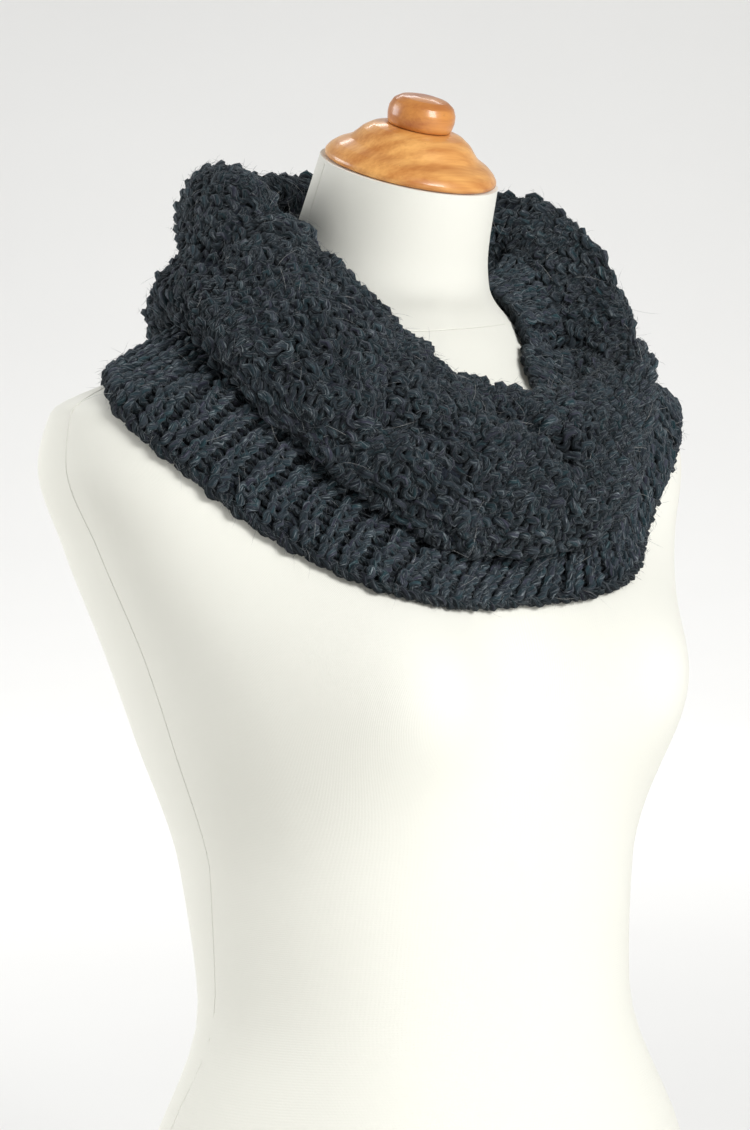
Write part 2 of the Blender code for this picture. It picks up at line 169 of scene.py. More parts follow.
# The cast on edge, two strands wound round each other
EDGE_POINTS = 8  # a stitch
EDGE_SCALLOP = 1.1  # how far the edge dips at each rib
EDGE_ALONG, EDGE_OUT = 1.3, 1.4  # how far its strands wind, along the tube and out of it
EDGE_SLIP = 0.7  # how unevenly it runs along the tube
EDGE_THICKNESS = 0.92  # of the yarn's radius

# The thin sheet behind the stitches, coloured dark as painted shade where it shows through their gaps
UNDER_THICKNESS = 1.0  # its own wall
BACKING_COLUMNS, BACKING_LEAST_ROWS = 160, 6
BACKING_STEP = 0.006  # metres between its rows
BACKING_SPAN = 100.0  # what a stretch of it counts as long, whatever its length is

# Loose fibres: lengths, radius, how flat they lie, how much they curl, and rings from tip to tip
FUZZ = {"lengths": (2.5, 6.5), "radius": 0.07, "lie": 1.1, "curl": 0.8, "rings": 2}
LOOSE_HAIR = {"lengths": (4.0, 11.0), "radius": 0.055, "lie": 0.6, "curl": 1.3, "rings": 3}
KEMP_HAIR = {"lengths": (6.0, 16.0), "radius": 0.075, "lie": 0.8, "curl": 1.2, "rings": 4}
FUZZ_ABOVE = 0.42  # share of the yarn that lies too deep for its fibres to show
ROOT_SPREAD = 1.1  # radians each way from the yarn's top to the lowest fibres
STRAY = 0.6  # how far fibres stray from the yarn's own way
LEAST_FLAT = 0.35  # how flat a fibre lies at the least
LEAST_SHARE = 0.2  # of the most that a fibre may rise or curl

# Seams of the form's cover
SIDE_SEAM_PLACES = (  # level, and degrees back from the form's side
    (0, 12), (200, 12), (260, 4), (330, 0), (592, 0), (650, 15), (705, 15),
)
NECK_SEAM_LEVEL, NECK_SEAM_RISE = 621.5, 4.0
NECK_SEAM_STEP = 0.5  # degrees
SIDE_SEAM_ENDS = 1.0  # how far a side seam stops short of the form's base and top
SEAM_RADIUS, SEAM_PINCH, SEAM_STITCH = 0.32, 0.15, 3.2  # its thread narrows by a share at each stitch
SEAM_POINTS, SEAM_SIDES = 4, 4

# Cap and knob
CAP_PROFILE = (  # radius, height above the neck's top: a rim, an ogee, a bead and a cone
    (0, 24.4), (19.5, 24.4), (25.5, 22.6), (30.4, 19.2), (34, 15.0), (36, 12.8), (38.4, 11.4),
    (42.6, 9.2), (46.2, 6.2), (48.2, 3.4), (48.2, 1.2), (46.6, 0), (0, 0),
)
KNOB_PROFILE = (  # radius, height above the cap's top
    (0, 17.4), (7, 17.2), (13, 16), (16.8, 13.4), (18.6, 9.4), (18.8, 5.6), (18.2, 2), (17.5, 0),
    (0, 0),
)
CAP_SIDES, KNOB_SIDES = 96, 72
CAP_GAP = 0.3
CORNER_ROUNDING = 0.6  # of a turned profile

SHARP_ANGLE = 50  # degrees, past which an edge shades as a corner
MERGE, STAGE_MERGE = 1e-6, 1e-5  # metres between corners that are the same one

rng = np.random.default_rng(11)


# Shape of the form


def hermite(start, leaving, stop, arriving, gap, t):
    """A smooth curve from start to stop over a gap, with a slope at each end, at share t of the way."""
    return (
        start * (1 + 2 * t) * (1 - t) ** 2
        + leaving * gap * t * (1 - t) ** 2
        + stop * t**2 * (3 - 2 * t)
        + arriving * gap * t**2 * (t - 1)
    )


def monotone(xs, ys, x):
    """The smooth curve through the points (xs, ys) that never overshoots them, read at x."""
    gaps = np.diff(xs)
    slopes = np.diff(ys) / gaps
    ends = np.empty(len(xs))
    ends[0], ends[-1] = slopes[0], slopes[-1]
    for i in range(1, len(xs) - 1):
        before, after = slopes[i - 1], slopes[i]
        if before * after <= 0:
            ends[i] = 0
        else:
            a, b = 2 * gaps[i] + gaps[i - 1], gaps[i] + 2 * gaps[i - 1]
            ends[i] = (a + b) / (a / before + b / after)
    i = np.clip(np.searchsorted(xs, x, side="right") - 1, 0, len(gaps) - 1)
    return hermite(ys[i], ends[i], ys[i + 1], ends[i + 1], gaps[i], (x - xs[i]) / gaps[i])


def form_section(level):
    """The form's own measures at any level."""
    table = np.array(FORM_ROWS, float)
    return {
        name: monotone(table[:, 0], table[:, k], level) for k, name in enumerate(FORM_COLUMNS)
    }


def on_section(part, turn):
    """Points of a section at angles round it: a superellipse, leaned with the neck. The last two
    values are how far each is sideways and back of the section's middle, before it is leaned."""
    power, lean = 2 / part["roundness"], math.radians(part["tilt"])
    across, deep = np.cos(turn), np.sin(turn)
    x = part["half_width"] * np.sign(across) * np.abs(across) ** power
    y = np.where(deep < 0, part["front"], part["back"]) * np.sign(deep) * np.abs(deep) ** power
    z = part["level"] + y * math.sin(lean)
    return np.stack([x, part["centre_y"] + y * math.cos(lean), z], -1), x, y


def form_ring(level, sides):
    """One closed section of the form, with the bust on it."""
    part = form_section(level)
    ring, _, y = on_section(part, np.arange(sides) * (2 * math.pi / sides))
    facing = np.clip(-2 * y / part["front"], 0, 1)
    for side in (-1, 1):
        across = (ring[:, 0] - side * BUST_X) / BUST_REACH_X
        up = (ring[:, 2] - BUST_LEVEL) / BUST_REACH_Z
        ring[:, 1] -= BUST_OUT * np.exp(-BUST_FALLOFF * (across**2 + up**2)) * facing
    return ring


def form_levels(rings):
    """Levels from base to neck top, closer together where the shoulders turn."""
    shares = np.linspace(0, 1, rings)
    return monotone(np.array(RING_SHARES), np.array(RING_LEVELS, float), shares)


def skin(rings):
    """The form's rings as something that a ray can be sent at."""
    sides = len(rings[0])
    points = [Vector(point) for ring in rings for point in ring]
    faces = []
    for i in range(len(rings) - 1):
        for k in range(sides):
            after = (k + 1) % sides
            low, high = i * sides, (i + 1) * sides
            faces.append((low + k, low + after, high + after, high + k))
    return BVHTree.FromPolygons(points, faces)


# Shape of the scarf


def read_round(column, angles):
    """A column of the scarf's table at any angles: a smooth closed curve through its rows."""
    place = (np.asarray(angles, float) - FIRST_ANGLE) / ANGLE_STEP
    row = np.floor(place).astype(int)
    t = place - row
    count = len(column)
    a, b, c, d = (column[(row + i) % count] for i in (-1, 0, 1, 2))
    return b + 0.5 * t * (c - a + t * (2 * a - 5 * b + 4 * c - d + t * (3 * (b - c) + d - a)))


def at_angle(radius, angles, height):
    """Points round the neck's axis."""
    angles = np.radians(angles)
    x, y = radius * np.sin(angles), NECK_AXIS_Y - radius * np.cos(angles)
    return np.stack([x, y, height], -1)


def smoothed(ring, reach):
    """A closed ring of values, each averaged with its neighbours up to reach places away."""
    weights = np.hanning(2 * reach + 3)[1:-1]
    weights /= weights.sum()
    wrapped = np.concatenate([ring[-reach:], ring, ring[:reach]])
    columns = [np.convolve(wrapped[:, k], weights, "valid") for k in range(ring.shape[1])]
    return np.stack(columns, 1)


def on_form(surface, angles, heights):
    """The wall's middle where it lies on the form at each angle and height, and the way out there."""
    lift = REST_GAP + WALL / 2
    starts = at_angle(np.full(len(angles), WELL_OUTSIDE), angles, heights)
    points, normals = [], []
    for start in starts:
        inward = Vector((-start[0], NECK_AXIS_Y - start[1], 0)).normalized()
        hit, normal, _, _ = surface.ray_cast(Vector(start), inward)
        if normal.dot(inward) > 0:
            normal = -normal
        points.append(hit + normal * lift)
        normals.append(normal)
    normals = smoothed(np.array(normals), NORMAL_BLUR)
    normals /= np.linalg.norm(normals, axis=1)[:, None]
    return smoothed(np.array(points), POINT_BLUR), normals


def clear_of(surface, points, least):
    """The points, each moved straight off the form's skin if it is nearer to it than least."""
    moved = []
    for point in points:
        place, normal, _, _ = surface.find_nearest(Vector(point))
        away = Vector(point) - place
        inside = away.dot(normal) < 0
        if inside or away.length < least:
            point = place + (-away if inside else away).normalized() * least
        moved.append(point)
    return np.array(moved)


def scarf_rings(surface, angles):
    """Every ring of the tube, from the hem over the rim to its inner end."""
    table = np.array(SCARF_ROWS, float)
    read = {name: read_round(table[:, k], angles) for k, name in enumerate(SCARF_COLUMNS)}
    hem, crease = read["hem_z"], read["crease_z"]
    rings = [on_form(surface, angles, hem + share * (crease - hem))[0] for share in BAND_LEVELS]
    tuck, out = on_form(surface, angles, crease + TUCK_RISE)
    up = tuck - rings[-1]
    up /= np.linalg.norm(up, axis=1)[:, None]
    for turn in np.radians(TURN_STEPS):
        rings.append(tuck + TURN_RADIUS * (np.sin(turn) * up + (1 - np.cos(turn)) * out))
    clearances = (OVER_BAND,) * 4 + (REST_GAP + WALL / 2,) * 4
    names = ("lip", "belly", "side", "shoulder", "rim", "turn", "fall", "end")
    for name, least in zip(names, clearances):
        ring = at_angle(read[name + "_r"], angles, read[name + "_z"])
        push = clear_of(surface, ring, least) - ring
        rings.append(ring + smoothed(push, NORMAL_BLUR))
    return rings


def even_shares(ring, angles, shares):
    """The angles at which a closed ring has run the given shares of its length."""
    steps = np.linalg.norm(np.roll(ring, -1, axis=0) - ring, axis=1)
    run = np.concatenate([[0], np.cumsum(steps)])
    full = np.append(angles, angles[0] + 360)
    return np.interp(shares, run / run[-1], full)


def fold_depth(points):
    """How far the folds sink each point of the roll."""
    x, y = points[:, 0], NECK_AXIS_Y - points[:, 1]
    place = np.stack([np.degrees(np.arctan2(x, y)) * FOLD_ARC, points[:, 2]], 1)
    sunk = np.zeros(len(points))
    for angle_a, z_a, angle_b, z_b, width, depth in FOLD_ROWS:
        a, b = np.array((angle_a * FOLD_ARC, z_a)), np.array((angle_b * FOLD_ARC, z_b))
        share = np.clip((place - a) @ (b - a) / ((b - a) @ (b - a)), 0, 1)
        away = np.linalg.norm(place - a - share[:, None] * (b - a), axis=1)
        sunk = np.maximum(sunk, depth * np.exp(-((away / width) ** 2)))
    return sunk


class Cloth:
    """The scarf's smooth middle surface: wales round it, points along each from the hem to the inner
    end, and how far each wale has run at each of the tube's rings."""

    def __init__(self, surface):
        angles = np.arange(FIRST_ANGLE, FIRST_ANGLE + 360, 1.0)
        rings = scarf_rings(surface, angles)
        steps = [np.linalg.norm(b - a, axis=1).mean() for a, b in zip(rings, rings[1:])]
        ring_places = np.concatenate([[0], np.cumsum(steps)])
        knots = self.knots(rings, angles)
        places = np.linspace(0, ring_places[-1], int(ring_places[-1] / ALONG_STEP))
        points = np.array([self.read(knots, ring_places, place) for place in places])
        normals = self.normals(points)
        for i, place in enumerate(places):
            if place >= ring_places[LIP]:
                points[i] -= normals[i] * fold_depth(points[i])[:, None]
            points[i] = clear_of(surface, points[i], REST_GAP + WALL / 2)
        steps = np.linalg.norm(np.diff(points, axis=0), axis=2)
        self.run = np.concatenate([np.zeros((1, WALES)), np.cumsum(steps, axis=0)])
        self.points = points
        self.at_ring = np.array(
            [[np.interp(p, places, self.run[:, k]) for k in range(WALES)] for p in ring_places]
        )

    @staticmethod
    def knots(rings, angles):
        """Points of every wale on every ring: equal shares of each ring's length up to the rim, and
        straight down inside it."""
        shares = np.arange(WALES) / WALES
        full = np.append(angles, angles[0] + 360)
        found = []
        for i, ring in enumerate(rings):
            if i <= RIM:
                at = even_shares(ring, angles, shares)
            closed = np.vstack([ring, ring[:1]])
            found.append(np.stack([np.interp(at, full, closed[:, k]) for k in range(3)], 1))
        return np.array(found)

    @staticmethod
    def read(knots, places, place):
        """Points of all wales at one place along them: a smooth curve through the knots."""
        last = len(places) - 1

        def slope(i):
            if i == 0:
                return (knots[1] - knots[0]) / (places[1] - places[0])
            if i == last:
                return (knots[last] - knots[last - 1]) / (places[last] - places[last - 1])
            before, after = places[i] - places[i - 1], places[i + 1] - places[i]
            back, on = (knots[i] - knots[i - 1]) / before, (knots[i + 1] - knots[i]) / after
            return (back * after + on * before) / (before + after)

        i = int(np.clip(np.searchsorted(places, place, side="right") - 1, 0, last - 1))
        gap = places[i + 1] - places[i]
        t = (place - places[i]) / gap
        return hermite(knots[i], slope(i), knots[i + 1], slope(i + 1), gap, t)

    @staticmethod
    def normals(points):
        across = np.roll(points, -1, axis=1) - np.roll(points, 1, axis=1)
        normal = np.cross(across, np.gradient(points, axis=0))
        return normal / np.linalg.norm(normal, axis=2, keepdims=True)


class Patch:
    """A stretch of the cloth, read by share round it and millimetres along from its start."""

    def __init__(self, cloth, start, scale, low, high):
        self.low = low
        along = np.arange(low, high + ALONG_STEP, ALONG_STEP)
        points = np.empty((len(along), WALES, 3))
        for k in range(WALES):
            run, wale = cloth.run[:, k], cloth.points[:, k]
            first, last = wale[1] - wale[0], wale[-1] - wale[-2]
            first /= np.linalg.norm(first)
            last /= np.linalg.norm(last)
            target = start[k] + along * scale[k]
            inside = np.stack([np.interp(target, run, wale[:, c]) for c in range(3)], 1)
            inside += np.minimum(target, 0)[:, None] * first
            inside += np.maximum(target - run[-1], 0)[:, None] * last
            points[:, k] = inside
        self.points = points
        self.normals = Cloth.normals(points)

    def read(self, share, along):
        """Points and normals. share and along are equal lists."""
        column = (share % 1.0) * WALES
        c = np.floor(column).astype(int) % WALES
        fc = (column - np.floor(column))[:, None]
        row = np.clip((along - self.low) / ALONG_STEP, 0, len(self.points) - LAST_READ)
        r = row.astype(int)
        fr = (row - r)[:, None]
        after = (c + 1) % WALES
        read = []
        for grid in (self.points, self.normals):
            low = grid[r, c] * (1 - fc) + grid[r, after] * fc
            high = grid[r + 1, c] * (1 - fc) + grid[r + 1, after] * fc
            read.append(low * (1 - fr) + high * fr)
        points, normals = read
        return points, normals / np.linalg.norm(normals, axis=1)[:, None]


def in_frame(points):
    """Millimetres round the form as metres of the whole model, whose middle is over the origin."""
    return (np.asarray(points, float) - np.array((0, BOX_CENTRE_Y, 0))) * MM


# Finishes. Lengths are metres here, and a colour's last value is 1.

PAINTED_SHADE_RISE, PAINTED_SHADE_RANGE = (-0.5, 5.2), (0.18, 1.33)  # painted shade: the yarn is darkened where it lies deep in the cloth and lightened where it stands out
HEATHER_HUES = (  # place in the wool's own wander, and a tint
    (0.32, (0.60, 1.15, 1.12, 1)),  # teal
    (0.44, (0.9, 1.03, 1.05, 1)),
    (0.56, (1.03, 0.99, 1.0, 1)),
    (0.68, (1.30, 0.97, 1.24, 1)),  # plum
)
STRAND_RATES, FIBRE_RATES = (95.0, 1.5), (260.0, 3.2)  # how fast streaks change, along and round
COURSES_A_WALE = 1.3  # jersey has more rows than columns
BOARD_TURN = (0.25, 0.10, 0.6)  # radians, how the blank lay in the board
FIGURE_SCALE, PORE_SCALE, FLECK_SCALE = (9, 70, 70), (40, 700, 700), (120, 260, 260)
HEART_X, HEART_Z, RING_PITCH = 0.015, 0.65, 0.0085  # the tree's heart, below the cap, and its rings


class Nodes:
    """A short way to lay out one tree of shader nodes."""

    def __init__(self, tree):
        self.tree = tree

    def add(self, kind, inputs=(), **settings):
        node = self.tree.nodes.new("ShaderNode" + kind)
        for name, value in settings.items():
            setattr(node, name, value)
        for name, value in dict(inputs).items():
            self.feed(value, node.inputs[name])
        return node

    def feed(self, value, socket):
        if isinstance(value, bpy.types.NodeSocket):
            self.tree.links.new(value, socket)
        else:
            socket.default_value = value

    def math(self, operation, a, b=0.0):
        return self.add("Math", {0: a, 1: b}, operation=operation).outputs[0]

    def plus(self, a, b):
        return self.math("ADD", a, b)

    def times(self, a, b):
        return self.math("MULTIPLY", a, b)

    def vector(self, x, y, z):
        return self.add("CombineXYZ", {0: x, 1: y, 2: z}).outputs[0]

    def parts(self, vector):
        return self.add("SeparateXYZ", {0: vector}).outputs

    def uv(self, name):
        return self.parts(self.add("UVMap", uv_map=name).outputs[0])

    def where(self):
        return self.add("TexCoord").outputs["Object"]

    def mapped(self, vector, turn=(0, 0, 0), scale=(1, 1, 1)):
        return self.add("Mapping", {"Vector": vector, "Rotation": turn, "Scale": scale}).outputs[0]

    def noise(self, vector, scale, detail=2.0, roughness=0.5):
        look = {"Vector": vector, "Scale": scale, "Detail": detail, "Roughness": roughness}
        return self.add("TexNoise", look).outputs["Fac"]

    def between(self, value, low, high, to_low=0.0, to_high=1.0):
        ends = {"From Min": low, "From Max": high, "To Min": to_low, "To Max": to_high}
        return self.add("MapRange", {"Value": value, **ends}).outputs[0]

    def mix(self, factor, a, b, blend="MIX"):
        node = self.add("Mix", {0: factor, 6: a, 7: b}, data_type="RGBA", blend_type=blend)
        return node.outputs[2]

    def ramp(self, value, stops):
        node = self.add("ValToRGB", {"Fac": value})
        marks = node.color_ramp.elements
        while len(marks) < len(stops):
            marks.new(1.0)
        for mark, (place, colour) in zip(marks, stops):
            mark.position, mark.color = place, colour
        return node.outputs["Color"]


def group(name, inputs):
    """An empty shader group that puts out a colour and a height, with its way in and its way out.
    inputs have a default each."""
    tree = bpy.data.node_groups.new(name, "ShaderNodeTree")
    for title, value in inputs:
        kind = "NodeSocketColor" if hasattr(value, "__len__") else "NodeSocketFloat"
        socket = tree.interface.new_socket(name=title, in_out="INPUT", socket_type=kind)
        socket.default_value = value
    for title, kind in (("Color", "NodeSocketColor"), ("Height", "NodeSocketFloat")):
        tree.interface.new_socket(name=title, in_out="OUTPUT", socket_type=kind)
    given, wanted = tree.nodes.new("NodeGroupInput"), tree.nodes.new("NodeGroupOutput")
    return Nodes(tree), given.outputs, wanted.inputs


def material(name, **values):
    """A Principled material, its nodes and its shader, with plain values set on its sockets."""
    made = bpy.data.materials.new(name)
    made.use_nodes = True
    shader = made.node_tree.nodes["Principled BSDF"]
    for title, value in values.items():
        shader.inputs[title.replace("_", " ")].default_value = value
    return made, Nodes(made.node_tree), shader


def place_group(nodes, tree, **values):
    """What a shader group puts out, with some of its values given."""
    node = nodes.tree.nodes.new("ShaderNodeGroup")
    node.node_tree = tree
    for title, value in values.items():
        nodes.feed(value, node.inputs[title])
    return node.outputs


def surface_of(nodes, shader, colour, height, strength, distance):
    """Gives a shader its colour, and its relief through a bump."""
    nodes.feed(colour, shader.inputs["Base Color"])
    bump = nodes.add("Bump", {"Height": height, "Strength": strength, "Distance": distance})
    nodes.feed(bump.outputs[0], shader.inputs["Normal"])


def heather_group():
    """Plied wool: its colour and relief along a yarn whose UV map is metres along and share round, with
    painted shade where the yarn lies deep in the cloth.
    """
    nodes, given, wanted = group("plied_heather", (
        ("Deep", (0.006, 0.0095, 0.0125, 1)),
        ("Body", (0.0275, 0.0365, 0.0445, 1)),
        ("Pale", (0.215, 0.245, 0.26, 1)),
        ("Twist", 230.0),
        ("Plies", 1.5),
    ))
    along, share, _ = nodes.uv("yarn")
    angle = nodes.plus(nodes.times(share, 2 * math.pi), nodes.times(along, given["Twist"]))
    across, up = nodes.math("COSINE", angle), nodes.math("SINE", angle)

    def twisted(rate_along, rate_round):
        """A place in the yarn that turns with its twist, so that streaks wind round it."""
        side, top = nodes.times(across, rate_round), nodes.times(up, rate_round)
        return nodes.vector(nodes.times(along, rate_along), side, top)

    strands = twisted(*STRAND_RATES)
    streak = nodes.noise(strands, 1.0, 3.0, 0.6)
    fine = nodes.noise(twisted(*FIBRE_RATES), 1.0, 3.0, 0.65)
    lump = nodes.noise(nodes.where(), 90.0, 2.0)
    base = nodes.mix(nodes.between(streak, 0.38, 0.60), given["Deep"], given["Body"])
    hue = nodes.ramp(nodes.noise(strands, 0.55, 2.0), HEATHER_HUES)
    tinted = nodes.mix(1.0, base, hue, "MULTIPLY")
    flecks = nodes.times(nodes.between(fine, 0.54, 0.66), nodes.between(lump, 0.3, 0.7, 0.2, 0.85))
    flecked = nodes.mix(flecks, tinted, given["Pale"])
    # painted shade: the colour darkens with how deep the yarn lies, read from its rise
    rise = nodes.add("Attribute", attribute_name="rise").outputs["Fac"]
    painted_shade = nodes.between(rise, *PAINTED_SHADE_RISE, *PAINTED_SHADE_RANGE)
    nodes.feed(nodes.mix(1.0, flecked, painted_shade, "MULTIPLY"), wanted["Color"])
    plies = nodes.math("ABSOLUTE", nodes.math("SINE", nodes.times(angle, given["Plies"])))
    nodes.feed(nodes.plus(nodes.times(plies, 0.6), nodes.times(fine, 0.55)), wanted["Height"])
    return nodes.tree


def yarn_material(tree):
    made, nodes, shader = material(
        "heather_wool", Roughness=0.9, Sheen_Weight=0.12, Sheen_Roughness=0.5,
        Sheen_Tint=(0.60, 0.69, 0.76, 1), Specular_IOR_Level=0.15,
    )
    wool = place_group(nodes, tree)
    surface_of(nodes, shader, wool["Color"], wool["Height"], 1.0, 0.0014)
    return made


def shade_backing_material():
    """The sheet behind the stitches, which shows only through their gaps, painted dark as the shade
    there.
    """
    made, nodes, shader = material("painted_shade_between_stitches", Roughness=1.0, Specular_IOR_Level=0.1)
    fuzz = nodes.noise(nodes.where(), 900.0, 3.0, 0.6)
    dark, pale = (0.006, 0.008, 0.012, 1), (0.022, 0.027, 0.036, 1)
    colour = nodes.mix(nodes.between(fuzz, 0.35, 0.7), dark, pale)
    surface_of(nodes, shader, colour, fuzz, 0.6, 0.0006)
    return made


def hair_material(name, pale, dark):
    """Loose fibres, whose colour changes from place to place."""
    made, nodes, shader = material(name, Roughness=0.6, Sheen_Weight=0.2, Specular_IOR_Level=0.3)
    tone = nodes.between(nodes.noise(nodes.where(), 420.0, 1.0), 0.3, 0.7)
    nodes.feed(nodes.mix(tone, dark, pale), shader.inputs["Base Color"])
    return made


def jersey_group():
    """Fine jersey: its wales and courses from a UV map in metres round and up, painted shade in the
    gaps between them, and a soft mottle.
    """
    nodes, given, wanted = group("jersey", (
        ("Color", (0.83, 0.825, 0.755, 1)),
        ("Shade", (0.78, 0.772, 0.70, 1)),
        ("Pitch", 0.0009),
    ))
    across, up, _ = nodes.uv("cloth")
    turn = nodes.math("DIVIDE", 2 * math.pi, given["Pitch"])
    wales = nodes.math("SINE", nodes.times(across, turn))
    courses = nodes.math("SINE", nodes.times(up, nodes.times(turn, COURSES_A_WALE)))
    knit = nodes.plus(wales, nodes.times(courses, 0.5))
    where = nodes.where()
    fuzz, soft = nodes.noise(where, 1400.0, 2.0), nodes.noise(where, 14.0, 3.0)
    # painted shade: darker in the gaps between the wales and courses
    gaps = nodes.between(knit, -1.5, 0.4, 0.35, 0.0)
    mottle = nodes.between(soft, 0.3, 0.7, 0.0, 0.25)
    colour = nodes.mix(nodes.plus(gaps, mottle), given["Color"], given["Shade"])
    nodes.feed(colour, wanted["Color"])
    nodes.feed(nodes.plus(nodes.times(knit, 0.3), nodes.times(fuzz, 0.8)), wanted["Height"])
    return nodes.tree


def jersey_material(tree):
    made, nodes, shader = material(
        "ivory_jersey_cover", Roughness=0.85, Sheen_Weight=0.12, Sheen_Roughness=0.5,
        Specular_IOR_Level=0.25,
    )
    cloth = place_group(nodes, tree)
    surface_of(nodes, shader, cloth["Color"], cloth["Height"], 0.35, 0.0002)
    return made


def grain_group():
    """Turned beech: rings round the tree's heart, long figure, fine pores and a few dark flecks."""
    nodes, given, wanted = group("turned_grain", (
        ("Pale", (0.84, 0.43, 0.125, 1)),
        ("Deep", (0.52, 0.19, 0.037, 1)),
        ("Fleck", (0.16, 0.06, 0.02, 1)),
    ))
    where = nodes.where()
    figure = nodes.noise(nodes.mapped(where, BOARD_TURN, FIGURE_SCALE), 1.0, 3.0, 0.55)
    pores = nodes.noise(nodes.mapped(where, BOARD_TURN, PORE_SCALE), 1.0, 2.0, 0.6)
    flecks = nodes.noise(nodes.mapped(where, scale=FLECK_SCALE), 1.0, 3.0, 0.7)
    board = nodes.parts(nodes.mapped(where, (0, 0, BOARD_TURN[2])))
    aside = nodes.math("POWER", nodes.math("SUBTRACT", board[0], HEART_X), 2.0)
    above = nodes.math("POWER", nodes.math("SUBTRACT", board[2], HEART_Z), 2.0)
    reach = nodes.math("SQRT", nodes.plus(aside, above))
    wander = nodes.times(nodes.noise(where, 22.0, 2.0), 9.0)
    rings = nodes.math("SINE", nodes.plus(nodes.times(reach, 2 * math.pi / RING_PITCH), wander))
    ringed = nodes.between(rings, -1.0, 1.0, 0.0, 0.30)
    figured = nodes.between(figure, 0.36, 0.64, 0.0, 0.75)
    tone = nodes.plus(nodes.plus(ringed, figured), nodes.between(pores, 0.3, 0.7, -0.15, 0.15))
    wood = nodes.mix(tone, given["Pale"], given["Deep"])
    flecked = nodes.mix(nodes.between(flecks, 0.70, 0.78, 0.0, 0.7), wood, given["Fleck"])
    nodes.feed(flecked, wanted["Color"])
    nodes.feed(pores, wanted["Height"])
    return nodes.tree


def wood_material(name, tree, **colours):
    made, nodes, shader = material(
        name, Roughness=0.42, Coat_Weight=0.5, Coat_Roughness=0.16, Specular_IOR_Level=0.4,
    )
    wood = place_group(nodes, tree, **colours)
    surface_of(nodes, shader, wood["Color"], wood["Height"], 0.15, 0.0003)
    return made


# Making pieces


def put_in_scene(name, data):
    made = bpy.data.objects.new(name, data)
    bpy.context.scene.collection.objects.link(made)
    return made


def add_piece(name, mesh, look, replaces=()):
    """One finished piece, which rides on the part's only body."""
    piece = put_in_scene(name, mesh)
    mesh.materials.append(look)
    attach(piece, BODY)
    if replaces:
        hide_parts(*replaces)
    return piece


def wrapped_sheet(columns, rows, shape, size):
    """A grid bent round into a tube: shape gives the points of a row of shares round, at one share
    along. Its UV map, cloth, is size metres round and along."""
    sheet = bmesh.new()
    layer = sheet.loops.layers.uv.new("cloth")
    bmesh.ops.create_grid(sheet, x_segments=columns, y_segments=rows, size=0.5)
    for face in sheet.faces:
        for loop in face.loops:
            u, v = loop.vert.co.x + 0.5, loop.vert.co.y + 0.5
            loop[layer].uv = (u * size[0], v * size[1])
    levels = {}
    for vert in sheet.verts:
        u, v = round((vert.co.x + 0.5) * columns), round((vert.co.y + 0.5) * rows)
        levels.setdefault(v, []).append((u, vert))
    for v, found in levels.items():
        shares = np.array([u for u, _ in found]) / columns
        for (_, vert), point in zip(found, in_frame(shape(shares % 1.0, v / rows))):
            vert.co = point
    bmesh.ops.remove_doubles(sheet, verts=sheet.verts, dist=MERGE)
    return sheet


def finish_mesh(shape, name, sharp=None):
    """A mesh of a shape, with its faces outwards. sharp is the angle past which an edge is a corner."""
    bmesh.ops.recalc_face_normals(shape, faces=shape.faces)
    mesh = bpy.data.meshes.new(name)
    shape.to_mesh(mesh)
    shape.free()
    mesh.shade_smooth()
    if sharp:
        mesh.set_sharp_from_angle(angle=math.radians(sharp))
    return mesh


def make_form(look):
    """The form's jersey cover, closed with a flat base, and the rings that the scarf is laid on."""
    rings = [form_ring(level, FORM_SIDES) for level in form_levels(FORM_RINGS + 1)]

    def shape(shares, along):
        ring = rings[round(along * FORM_RINGS)]
        return ring[np.round(shares * FORM_SIDES).astype(int) % FORM_SIDES]

    name = "form_body_cover"
    body = wrapped_sheet(FORM_SIDES, FORM_RINGS, shape, (COVER_ROUND, COVER_TALL))
    bmesh.ops.holes_fill(body, edges=[edge for edge in body.edges if edge.is_boundary])
    add_piece(name, finish_mesh(body, name, SHARP_ANGLE), look, ["form_body"])
    return rings


def seam_turn(level):
    """Where the side seam crosses the form's section at a level, in degrees back from its side."""
    places = np.array(SIDE_SEAM_PLACES, float)
    return np.interp(level, places[:, 0], places[:, 1])


def section_point(level, degrees):
    """A point on the form's section, with the way out of it."""
    point, x, y = on_section(form_section(level), math.radians(degrees))
    return point, np.array((x, y, 0)) / math.hypot(x, y)


def sewn_line(name, places, closed, look):
    """A fine raised seam on the form, drawn in a little at each stitch."""
    points, normals = (np.array(part) for part in zip(*places))
    steps = np.linalg.norm(np.diff(points, axis=0), axis=1)
    run = np.concatenate([[0], np.cumsum(steps)])
    radii = SEAM_RADIUS * (1 - SEAM_PINCH * np.cos(2 * math.pi * run / SEAM_STITCH))
    line = Yarn()
    line.add(points, normals, radii, closed, SEAM_SIDES)
    add_piece(name, line.mesh(name), look)


def make_seams(look):
    """The jersey cover's seams: up each side and over the shoulder to the cap, and round the neck."""
    top = FORM_ROWS[-1][0] - SIDE_SEAM_ENDS
    levels = np.arange(SIDE_SEAM_ENDS, top, SEAM_STITCH / SEAM_POINTS)
    for side, sign in (("left", 1), ("right", -1)):
        mirror = np.array((sign, 1, 1))
        places = []
        for level in levels:
            point, out = section_point(level, seam_turn(level))
            places.append((point * mirror, out * mirror))
        sewn_line("side_seam_" + side, places, False, look)
    places = []
    for degrees in np.arange(0, 360, NECK_SEAM_STEP):
        level = NECK_SEAM_LEVEL + NECK_SEAM_RISE * math.cos(math.radians(degrees))
        places.append(section_point(level, degrees))
    sewn_line("neck_seam", places, True, look)


def spin_profile(shape, steps, merge):
    """Spins a profile full circle about the upright axis, and closes its seam and its poles."""
    bmesh.ops.spin(
        shape, geom=list(shape.verts) + list(shape.edges), cent=(0, 0, 0), axis=(0, 0, 1),
        angle=2 * math.pi, steps=steps, use_merge=True,
    )
    bmesh.ops.remove_doubles(shape, verts=shape.verts, dist=merge)


